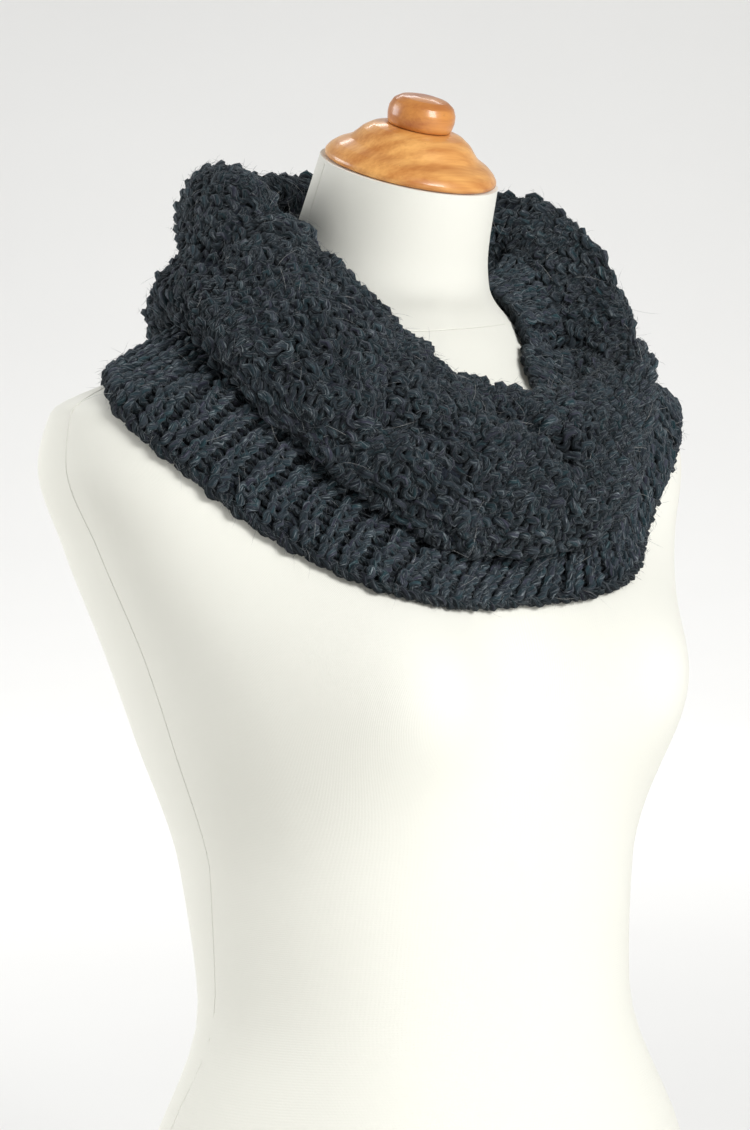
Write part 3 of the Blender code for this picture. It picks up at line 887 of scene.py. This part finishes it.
def turned(name, profile, sides, lift, look, node):
    """A wooden piece spun from its profile, then leaned with the neck onto its seat."""
    shape = bmesh.new()
    verts = [shape.verts.new((radius * MM, 0, height * MM)) for radius, height in profile]
    for pair in zip(verts, verts[1:]):
        shape.edges.new(pair)
    bmesh.ops.bevel(
        shape, geom=verts[1:-1], offset=CORNER_ROUNDING * MM, offset_type="OFFSET", segments=2,
        profile=0.5, affect="VERTICES", material=-1,
    )
    spin_profile(shape, sides, MERGE)
    neck = dict(zip(FORM_COLUMNS, FORM_ROWS[-1]))
    seat = Matrix.Translation((0, (neck["centre_y"] - BOX_CENTRE_Y) * MM, neck["level"] * MM))
    lean = Matrix.Rotation(math.radians(neck["tilt"]), 4, "X")
    rise = Matrix.Translation((0, 0, lift * MM))
    bmesh.ops.transform(shape, matrix=seat @ lean @ rise, verts=shape.verts)
    add_piece(name, finish_mesh(shape, name, SHARP_ANGLE), look, [node])


def make_cap(tree):
    """The neck's cap, and its knob in a darker piece of the same wood."""
    beech = wood_material("varnished_turned_beech", tree)
    darker = wood_material(
        "darker_beech_knob", tree, Pale=(0.66, 0.28, 0.065, 1), Deep=(0.40, 0.12, 0.022, 1)
    )
    cap_top = CAP_PROFILE[0][1]
    turned("neck_cap_turned", CAP_PROFILE, CAP_SIDES, CAP_GAP, beech, "form_neck_cap")
    turned("cap_knob_turned", KNOB_PROFILE, KNOB_SIDES, 2 * CAP_GAP + cap_top, darker, "form_cap_knob")


def make_backing(name, cloth, first, last, node, look, flat):
    """The thin cloth behind one stretch of stitches, with a wall of its own."""
    low, high = cloth.at_ring[first], cloth.at_ring[last]
    patch = Patch(cloth, low, (high - low) / BACKING_SPAN, 0, BACKING_SPAN)

    def shape(shares, along):
        return patch.read(shares, np.full(len(shares), along * BACKING_SPAN))[0]

    tall, long = flat
    rows = max(BACKING_LEAST_ROWS, round(tall / BACKING_STEP))
    sheet = wrapped_sheet(BACKING_COLUMNS, rows, shape, (long, tall))
    bmesh.ops.recalc_face_normals(sheet, faces=sheet.faces)
    bmesh.ops.solidify(sheet, geom=list(sheet.faces), thickness=UNDER_THICKNESS * MM)
    return add_piece(name, finish_mesh(sheet, name), look, [node])


# Yarn


def unit(vectors):
    """Each vector at a length of 1."""
    return vectors / np.linalg.norm(vectors, axis=1)[:, None]


class Yarn:
    """Rounds of yarn gathered into one mesh: closed tubes with a UV map of metres along and share
    round, and an attribute for how many millimetres each point stands out of the cloth."""

    def __init__(self):
        self.verts, self.quads, self.caps, self.uvs, self.rise = [], [], [], [], []
        self.count = 0
        self.skin = []

    def add(self, points, normals, radii, closed, sides=YARN_SIDES, raised=None):
        """A closed round of yarn, or a length of it with capped ends. raised is how far the yarn's
        middle stands out of the cloth."""
        n = len(points)
        raised = np.zeros(n) if raised is None else raised
        ahead, behind = np.roll(points, -1, axis=0), np.roll(points, 1, axis=0)
        if not closed:
            ahead[-1], behind[0] = points[-1], points[0]
        way = unit(ahead - behind)
        side = unit(np.cross(way, normals))
        up = np.cross(side, way)
        turn = np.arange(sides) * (2 * math.pi / sides)
        outward = np.cos(turn)[:, None] * side[:, None] + np.sin(turn)[:, None] * up[:, None]
        ring = points[:, None] + radii[:, None, None] * outward
        steps = np.linalg.norm(np.roll(points, -1, axis=0) - points, axis=1)
        run = np.concatenate([[0], np.cumsum(steps)]) * MM + rng.random()

        i = np.arange(n if closed else n - 1)[:, None]
        k = np.arange(sides)[None]
        here, after = i * sides, (i + 1) % n * sides
        k_after = (k + 1) % sides
        corners = [here + k, after + k, after + k_after, here + k_after]
        grid = (len(i), sides)
        u0, u1 = np.broadcast_to(run[i], grid), np.broadcast_to(run[i + 1], grid)
        v0, v1 = np.broadcast_to(k / sides, grid), np.broadcast_to((k + 1) / sides, grid)
        self.quads.append(np.stack([corner.ravel() for corner in corners], 1) + self.count)
        self.uvs.append(np.stack([u0, v0, u1, v0, u1, v1, u0, v1], -1).reshape(-1, 2))
        if not closed:
            first = np.arange(sides) + self.count
            self.caps += [first, first[::-1] + (n - 1) * sides]
        self.verts.append(ring.reshape(-1, 3))
        self.rise.append((raised[:, None] + radii[:, None] * np.sin(turn)).ravel())
        self.skin.append((points, normals, way, radii, raised))
        self.count += n * sides

    def mesh(self, name):
        verts = in_frame(np.concatenate(self.verts))
        quads = np.concatenate(self.quads).ravel()
        caps = np.concatenate(self.caps) if self.caps else np.zeros(0, int)
        made = bpy.data.meshes.new(name)
        made.vertices.add(len(verts))
        made.vertices.foreach_set("co", verts.astype(np.float32).ravel())
        loops = np.concatenate([quads, caps]).astype(np.int32)
        made.loops.add(len(loops))
        made.loops.foreach_set("vertex_index", loops)
        starts = np.arange(0, len(quads), 4)
        if len(caps):
            starts = np.concatenate([starts, len(quads) + np.arange(0, len(caps), len(self.caps[0]))])
        made.polygons.add(len(starts))
        made.polygons.foreach_set("loop_start", starts.astype(np.int32))
        made.update(calc_edges=True)
        uv = np.zeros((len(loops), 2), np.float32)
        uv[: len(quads)] = np.concatenate(self.uvs)
        made.uv_layers.new(name="yarn").data.foreach_set("uv", uv.ravel())
        rise = np.concatenate(self.rise).astype(np.float32)
        made.attributes.new("rise", "FLOAT", "POINT").data.foreach_set("value", rise)
        made.validate()
        made.shade_smooth()
        return made


def around(values, q):
    """A value for each stitch of a round, read smoothly at any place q in stitches."""
    count = len(values)
    place = (q - 0.5) % count
    i = place.astype(int) % count
    t = place - np.floor(place)
    t = t * t * (3 - 2 * t)
    return values[i] * (1 - t) + values[(i + 1) % count] * t


def rib_share(q, stitches):
    """Share round at q stitches, where a rib's knitted stitch is wider than its purled one."""
    pair = np.floor(q / 2)
    within = q - 2 * pair
    knitted, purled = 2 * KNIT_SHARE, 2 * (1 - KNIT_SHARE)
    wide = np.where(within < 1, within * knitted, knitted + (within - 1) * purled)
    return (2 * pair + wide) / stitches


def even_share(q, stitches):
    return q / stitches


def rib_face(q, row):
    """1 at a knitted stitch's middle and -1 at a purled one's: one of each in turn, row on row."""
    return np.cos(math.pi * (q - 0.5))


def moss_face(q, row):
    """The same for moss stitch, which swaps them every row."""
    return rib_face(q, row) * (1 if row % 2 else -1)


def slanted(spec, q, stitches, along):
    """Share round at q stitches and a height along, on wales that lean as the cloth is pulled."""
    share = spec["share"](q, stitches)
    places, leans = zip(*spec["leans"])
    return share + np.interp(share % 1.0, places, leans) * along / BAND_ROUND


class Drift:
    """The slow wander of a knitter's tension: a smooth wave over the cloth, its usual size 1."""

    WAVES = 12

    def __init__(self, longest, shortest, seed):
        chance = np.random.default_rng(seed)
        lengths = chance.uniform(shortest, longest, self.WAVES)
        ways = chance.uniform(0, 2 * math.pi, self.WAVES)
        self.turns = np.round(TUBE_ROUND * np.cos(ways) / lengths)
        self.rates = np.sin(ways) / lengths
        self.starts = chance.uniform(0, 2 * math.pi, self.WAVES)

    def at(self, share, along):
        waves = 2 * math.pi * (self.turns * share[:, None] + self.rates * along[:, None])
        return np.sin(waves + self.starts).sum(1) / math.sqrt(self.WAVES / 2)


DRIFTS = [Drift(*waves) for waves in DRIFT_WAVES]
BAND = {
    "face": rib_face, "relief": RIB_RELIEF, "share": rib_share, "leans": RIB_LEANS,
    "jitter": 0.55, "drift": 0.5, "tall": 1.0, "lift": 0.2, "thick": 1.2, "slim": PURL_SLIM,
}
INNER_BAND = dict(BAND, leans=UPRIGHT)
PANEL = {
    "face": moss_face, "relief": PANEL_RELIEF, "share": even_share, "leans": UPRIGHT,
    "jitter": 1.25, "drift": 1.2, "tall": 0.95, "lift": 0.3, "thick": 1.1, "slim": 0.0,
}


def shown_runs(kept):
    """Where each run of stitches that show starts and stops, counted on past the round's end."""
    first = int(np.argmin(kept))
    order = np.roll(kept, -first).astype(int)
    edges = np.flatnonzero(np.diff(np.concatenate([[0], order, [0]]))) + first
    return zip(edges[::2], edges[1::2])


def knit_round(yarn, patch, stitches, row, height, kept, spec):
    """One round of stitches, at a height along the patch. kept says which stitches show."""
    step = np.arange(stitches * POINTS_A_STITCH) / POINTS_A_STITCH
    turn = 2 * math.pi * (step % 1.0)

    def uneven(spread):
        return around(rng.normal(0, spread * spec["jitter"], stitches), step)

    lean = LOOP_LEAN * (1 + uneven(SLIP_LEAN))
    q = step + lean * np.sin(2 * turn) + uneven(SLIP_SIDE)
    tall = LOOP_HEIGHT * spec["tall"] * (1 + uneven(SLIP_UP))
    along = height - tall * np.cos(turn) + uneven(SLIP_UP * ROW_HEIGHT)
    face = spec["face"](step, row)
    lift = spec["relief"] * face + uneven(SLIP_OUT)
    lift = lift - LOOP_DEPTH * np.cos(2 * turn) * np.clip(FACE_SHARPNESS * face, -1, 1)
    share = slanted(spec, q, stitches, along)
    side, up, out = (
        reach * spec["drift"] * drift.at(share, along) for reach, drift in zip(DRIFT_REACH, DRIFTS)
    )
    points, normals = patch.read(share + side / stitches, along + up)
    points = points + normals * (lift + out + spec["lift"])[:, None]
    swell = 1 + SWELL * np.sin(SWELL_RATE * step + row)
    radii = YARN_RADIUS * spec["thick"] * (1 + uneven(SLIP_THICK)) * swell
    radii = radii * (1 - spec["slim"] * np.clip(-face, 0, 1))
    if kept.all():
        yarn.add(points, normals, radii, True, raised=lift)
        return
    for start, stop in shown_runs(kept):
        if stop - start > 1:
            at = np.arange(start * POINTS_A_STITCH, stop * POINTS_A_STITCH + 1) % len(step)
            yarn.add(points[at], normals[at], radii[at], False, raised=lift[at])


def edge_cord(yarn, patch, stitches, height, spec):
    """The cast on edge, at a height along the patch."""
    step = np.arange(stitches * EDGE_POINTS) / EDGE_POINTS
    dip = EDGE_SCALLOP * spec["face"](step, 0)
    for phase in (0, math.pi):
        turn = 2 * math.pi * step + phase
        slip = around(rng.normal(0, EDGE_SLIP, stitches), step)
        along = height - dip + EDGE_ALONG * np.cos(turn) + slip
        points, normals = patch.read(spec["share"](step, stitches), along)
        points = points + normals * (EDGE_OUT * np.sin(turn) + spec["lift"])[:, None]
        yarn.add(points, normals, np.full(len(points), YARN_RADIUS * EDGE_THICKNESS), True)


def limit_at(limit, spec, stitches, height):
    """A height that each wale has a value of, read at the stitches of the round at a height."""
    shares = slanted(spec, np.arange(stitches) + 0.5, stitches, height) % 1.0
    return np.interp(shares * WALES, np.arange(WALES + 1), np.append(limit, limit[0]))


def knit_band(cloth):
    """The lower band, from its hem up to where the roll hides it."""
    yarn = Yarn()
    below, above = BAND_MARGIN
    top = cloth.at_ring[TURNED].max() + above
    patch = Patch(cloth, np.zeros(WALES), np.ones(WALES), -below, top)
    edge_cord(yarn, patch, BAND_STITCHES, HEM_EDGE, BAND)
    limit = cloth.at_ring[TUCK]
    row, height = 0, HEM_ROUND
    while height < limit.max():
        kept = limit_at(limit, BAND, BAND_STITCHES, height) > height
        knit_round(yarn, patch, BAND_STITCHES, row, height, kept, BAND)
        row, height = row + 1, height + ROW_HEIGHT
    return yarn


def knit_panel(cloth):
    """The roll's outer side, from its rim down to under its lip, in an upper and a lower part."""
    upper, lower = Yarn(), Yarn()
    start = cloth.at_ring[RIM]
    below, above = PANEL_MARGIN
    bottom = (cloth.at_ring[TURNED] - start).min() - below
    patch = Patch(cloth, start, np.ones(WALES), bottom, above)
    limit = cloth.at_ring[LIP] - start - UNDER_LIP
    row, height = 0, -ROW_HEIGHT / 2
    while height > limit.min():
        kept = limit_at(limit, PANEL, PANEL_STITCHES, height) < height
        yarn = upper if row < UPPER_ROWS else lower
        knit_round(yarn, patch, PANEL_STITCHES, row, height, kept, PANEL)
        row, height = row + 1, height - ROW_HEIGHT
    return upper, lower


def knit_inside(cloth):
    """The panel's inner fall and the upper band, from the rim to the tube's inner end."""
    fall, band = Yarn(), Yarn()
    start, stop = cloth.at_ring[RIM], cloth.at_ring[END]
    length = INNER_ROWS * ROW_HEIGHT
    above, below = INSIDE_MARGIN
    patch = Patch(cloth, start, (stop - start) / length, -above, length + below)
    everywhere = np.ones(PANEL_STITCHES, bool)
    for row in range(INNER_ROWS):
        height = (row + 0.5) * ROW_HEIGHT
        if row < FALL_ROWS:
            knit_round(fall, patch, PANEL_STITCHES, row + 1, height, everywhere, PANEL)
        else:
            knit_round(band, patch, PANEL_STITCHES, row, height, everywhere, INNER_BAND)
    edge_cord(band, patch, PANEL_STITCHES, length - INNER_EDGE, INNER_BAND)
    return fall, band


def fibre_roots(yarns, count, chance):
    """Places on the outer side of the yarn where it stands out, with its way and the way out of it."""
    parts = [[], [], [], []]
    for yarn in yarns:
        *skin, raised = (np.concatenate(column) for column in zip(*yarn.skin))
        high = raised > np.quantile(raised, FUZZ_ABOVE)
        for part, values in zip(parts, skin):
            part.append(values[high])
    pick = chance.integers(0, sum(len(values) for values in parts[0]), count)
    points, normals, ways, radii = (np.concatenate(part)[pick] for part in parts)
    spin = chance.uniform(-ROOT_SPREAD, ROOT_SPREAD, count)[:, None]
    out = normals * np.cos(spin) + np.cross(ways, normals) * np.sin(spin)
    return points + out * radii[:, None], ways, out


def make_fibres(name, yarns, look, seed, count, lengths, radius, lie, curl, rings):
    """Loose fibres on the yarn: thin closed spindles of three sides that curl back to it."""
    chance = np.random.default_rng(seed)
    roots, ways, out = fibre_roots(yarns, count, chance)
    flat = unit(ways + chance.normal(0, STRAY, (count, 3)))
    flat = unit(flat - (flat * out).sum(1)[:, None] * out)
    rise = chance.uniform(LEAST_SHARE, 1.0, count)[:, None] ** (1 + lie)
    lean = unit(flat * (LEAST_FLAT + lie) + out * rise)
    bend = unit(np.cross(lean, chance.normal(0, 1, (count, 3))))
    bend *= -np.sign((bend * out).sum(1))[:, None]
    across = np.cross(lean, bend)
    length = chance.uniform(*lengths, count)[:, None]
    turn = chance.uniform(LEAST_SHARE, 1.0, count)[:, None] * curl

    def middle(t):
        return roots + length * (lean * t + bend * turn * t * t)

    corners = [middle(0.0)]
    for ring in range(rings):
        centre = middle((ring + 1) / (rings + 1))
        for angle in np.arange(3) * (2 * math.pi / 3):
            corners.append(centre + radius * (math.cos(angle) * bend + math.sin(angle) * across))
    corners.append(middle(1.0))
    last = len(corners) - 1
    faces = [(0, 1 + (k + 1) % 3, 1 + k) for k in range(3)]
    for low in range(1, last - 3, 3):
        for k in range(3):
            a, b = low + k, low + (k + 1) % 3
            faces += [(a, b, b + 3), (a, b + 3, a + 3)]
    faces += [(last, last - 3 + k, last - 3 + (k + 1) % 3) for k in range(3)]
    verts = in_frame(np.stack(corners, 1).reshape(-1, 3))
    firsts = (np.arange(count) * len(corners))[:, None, None]
    mesh = bpy.data.meshes.new(name)
    mesh.from_pydata(verts, [], (np.array(faces)[None] + firsts).reshape(-1, 3))
    mesh.shade_smooth()
    add_piece(name, mesh, look)


STRETCHES = (  # name, rings at its ends, the solid that it stands for, metres tall and long when flat
    ("lower_band", HEM, TUCK, "scarf_lower_band", (0.055, 0.85)),
    ("outer_panel", TUCK, RIM, "scarf_panel_outer", (0.125, 0.80)),
    ("inner_panel", RIM, FALL, "scarf_panel_inner", (0.045, 0.60)),
    ("upper_band", FALL, END, "scarf_upper_band", (0.025, 0.58)),
)


def make_scarf(surface):
    """The whole tube: its backing cloth, the stitches on it and the fibres on them."""
    cloth = Cloth(surface)
    # the backing's dark colour is painted shade between the stitches
    under = shade_backing_material()
    wool = yarn_material(heather_group())
    band = knit_band(cloth)
    upper, lower = knit_panel(cloth)
    fall, inner_band = knit_inside(cloth)
    knitted = (
        {"lower_band_stitches": band},
        {"outer_panel_stitches_upper": upper, "outer_panel_stitches_lower": lower},
        {"inner_panel_stitches": fall},
        {"upper_band_stitches": inner_band},
    )
    for (name, first, last, node, flat), yarns in zip(STRETCHES, knitted):
        sheet = make_backing(name + "_cloth", cloth, first, last, node, under, flat)
        for title, yarn in yarns.items():
            add_piece(title, yarn.mesh(title), wool)

    halo = hair_material("wool_halo", (0.18, 0.204, 0.22, 1), (0.032, 0.041, 0.048, 1))
    kemp = hair_material("pale_kemp", (0.50, 0.50, 0.48, 1), (0.20, 0.21, 0.22, 1))
    everywhere = (band, upper, lower, fall, inner_band)
    make_fibres("fuzz_low", (band, lower), halo, seed=3, count=11500, **FUZZ)
    make_fibres("fuzz_high", (upper, fall, inner_band), halo, seed=4, count=12000, **FUZZ)
    make_fibres("loose_hairs", everywhere, halo, seed=5, count=2100, **LOOSE_HAIR)
    make_fibres("pale_kemp_hairs", everywhere, kemp, seed=6, count=400, **KEMP_HAIR)


# Stage


FLOOR_REACH, SWEEP_RADIUS = 4.0, 3.5  # metres: a flat floor, then a round sweep up
SWEEP_STEPS, SWEEP_SIDES = 24, 96
PAPER_PALE, PAPER_SHADE = (0.83, 0.825, 0.81, 1), (0.80, 0.795, 0.78, 1)
LIGHTS = (  # place, aim, size in metres and power
    ("key_window", (0.12, -2.86, 1.65), (0, 0, 0.5), 1.2, 82.0),
    ("back_window", (-1.7, 1.9, 1.6), (0, 0, 0.6), 1.5, 50.0),
    ("backdrop_wash", (1.8, 2.4, 3.2), (3.0, 3.9, 0), 2.0, 110.0),
)
WORLD_COLOUR, WORLD_STRENGTH = (0.97, 0.985, 1.0, 1), 0.32


def make_backdrop():
    """A pale floor that sweeps up all round into a low wall, with no line where they meet."""
    shape = bmesh.new()
    corners = [(0.0, 0.0)]
    for turn in np.linspace(0, math.pi / 2, SWEEP_STEPS):
        out, up = SWEEP_RADIUS * math.sin(turn), SWEEP_RADIUS * (1 - math.cos(turn))
        corners.append((FLOOR_REACH + out, up))
    verts = [shape.verts.new((reach, 0, height)) for reach, height in corners]
    for pair in zip(verts, verts[1:]):
        shape.edges.new(pair)
    spin_profile(shape, SWEEP_SIDES, STAGE_MERGE)
    mesh = finish_mesh(shape, "studio_backdrop")
    if mesh.polygons[0].normal.z < 0:
        mesh.flip_normals()
    paper, nodes, shader = material("pale_paper", Roughness=0.9, Specular_IOR_Level=0.1)
    tone = nodes.mix(nodes.noise(nodes.where(), 2.0, 3.0), PAPER_SHADE, PAPER_PALE)
    nodes.feed(tone, shader.inputs["Base Color"])
    mesh.materials.append(paper)
    put_in_scene("studio_backdrop", mesh)


def make_world():
    world = bpy.data.worlds.new("studio")
    world.use_nodes = True
    background = world.node_tree.nodes["Background"]
    background.inputs["Color"].default_value = WORLD_COLOUR
    background.inputs["Strength"].default_value = WORLD_STRENGTH
    bpy.context.scene.world = world
    bpy.context.scene.view_settings.view_transform = "Standard"


def make_lights():
    for name, place, aim, size, power in LIGHTS:
        lamp = bpy.data.lights.new(name, "AREA")
        lamp.shape, lamp.size, lamp.energy = "SQUARE", size, power
        stand = put_in_scene(name, lamp)
        stand.location = place
        stand.rotation_euler = (Vector(aim) - Vector(place)).to_track_quat("-Z", "Y").to_euler()
        stand.visible_camera = False


CAMERA_AZIMUTH, CAMERA_ELEVATION, CAMERA_DISTANCE = -38.0, 3.0, 1.900
CAMERA_TARGET = (-0.015, 0.0002, 0.487)
CAMERA_LENS, SENSOR = 108.95, 36.0


def make_camera():
    azimuth, elevation = math.radians(CAMERA_AZIMUTH), math.radians(CAMERA_ELEVATION)
    level = math.cos(elevation)
    back = Vector((math.sin(azimuth) * level, -math.cos(azimuth) * level, math.sin(elevation)))
    camera = put_in_scene("camera", bpy.data.cameras.new("camera"))
    camera.data.lens, camera.data.sensor_width = CAMERA_LENS, SENSOR
    camera.location = Vector(CAMERA_TARGET) + back * CAMERA_DISTANCE
    camera.rotation_euler = (-back).to_track_quat("-Z", "Y").to_euler()
    bpy.context.scene.camera = camera


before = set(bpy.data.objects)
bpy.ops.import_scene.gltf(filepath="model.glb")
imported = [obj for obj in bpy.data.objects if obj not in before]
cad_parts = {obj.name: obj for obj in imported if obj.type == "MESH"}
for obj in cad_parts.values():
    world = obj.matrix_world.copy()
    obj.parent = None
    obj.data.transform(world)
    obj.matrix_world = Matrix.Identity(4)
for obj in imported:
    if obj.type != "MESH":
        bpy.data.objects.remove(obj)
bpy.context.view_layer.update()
make_camera()
make_backdrop()
make_world()
make_lights()
jersey = jersey_material(jersey_group())
form_rings = make_form(jersey)
make_seams(jersey)
make_cap(grain_group())
make_scarf(skin(form_rings))
